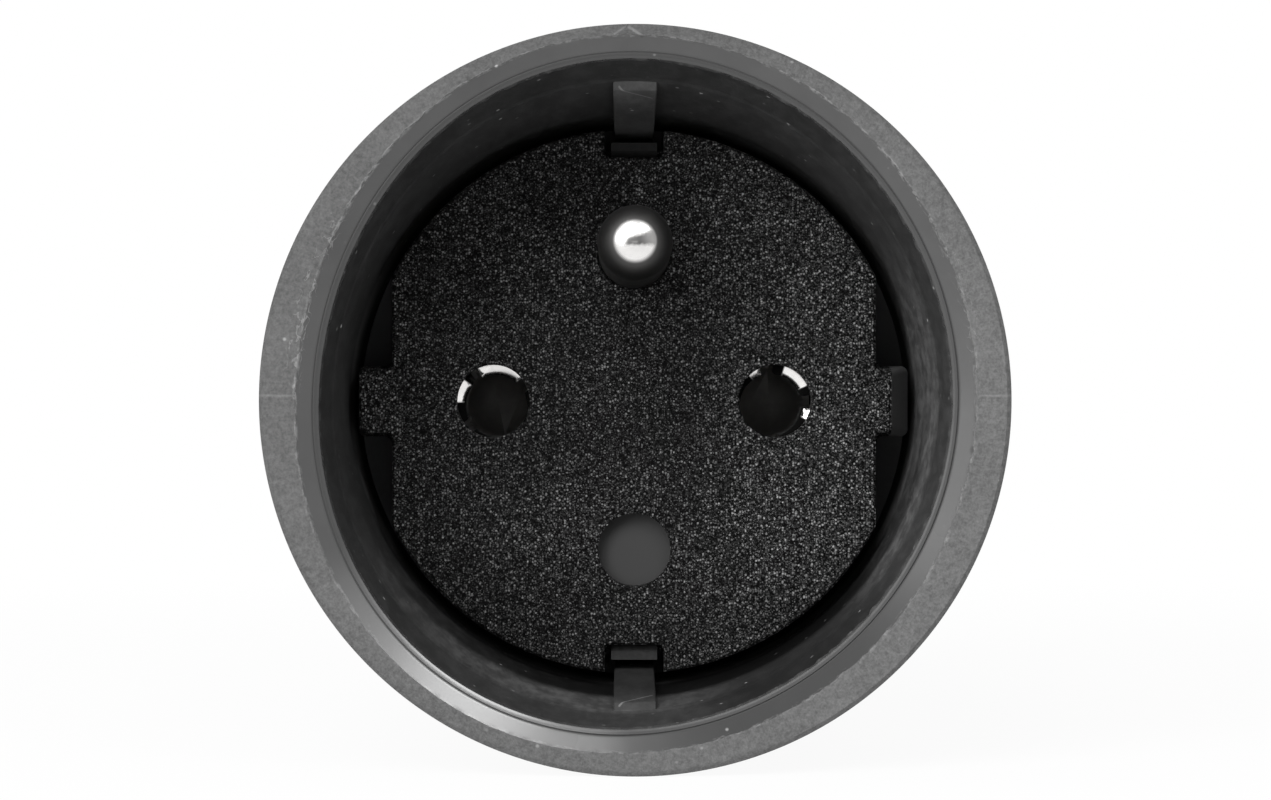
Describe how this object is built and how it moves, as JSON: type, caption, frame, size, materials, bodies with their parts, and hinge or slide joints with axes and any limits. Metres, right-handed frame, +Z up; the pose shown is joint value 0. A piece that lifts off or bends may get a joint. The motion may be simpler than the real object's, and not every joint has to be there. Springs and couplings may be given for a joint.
{
  "type": "plug adapter",
  "caption": "Round rubber-bodied mains adapter: a recessed socket with an earth pin in front, a two-pin plug nose with side earth strips behind.",
  "frame": {"origin": "centre of the rear shoulder, the plane that meets the wall socket, on the axis of the plug nose", "axes": "as plugged into a wall: the plug nose points along +Y, the socket mouth faces -Y, the earth pin is up along +Z from the axis, +X is to the right seen into the mouth"},
  "size_m": [0.0466, 0.082, 0.0466],
  "materials": {
    "jacket_rubber": "moulded black rubber, greyed and scuffed at the rim",
    "cover_plastic": "black moulded plastic with a fine sandblasted grain",
    "base_plastic": "smooth black moulded plastic",
    "carrier_plastic": "smooth black moulded plastic",
    "contact_metal": "turned brass, nickel plated",
    "earth_metal": "turned brass, nickel plated, polished nose",
    "pin_metal": "turned brass, nickel plated",
    "strap_metal": "brass strip, nickel plated",
    "spring_steel": "bright spring steel",
    "screw_steel": "zinc plated steel"
  },
  "bodies": {
    "root": {"rubber_jacket": "jacket_rubber", "socket_cover": "cover_plastic", "socket_base": "base_plastic", "left_sleeve": "contact_metal", "right_sleeve": "contact_metal", "left_sleeve_spring": "spring_steel", "right_sleeve_spring": "spring_steel", "earth_pin": "earth_metal", "earth_pin_washer": "spring_steel", "earth_pin_screw": "screw_steel", "earth_strap": "strap_metal", "plug_carrier": "carrier_plastic", "left_plug_pin": "pin_metal", "right_plug_pin": "pin_metal", "carrier_screws": "screw_steel"}
  },
  "joints": []
}
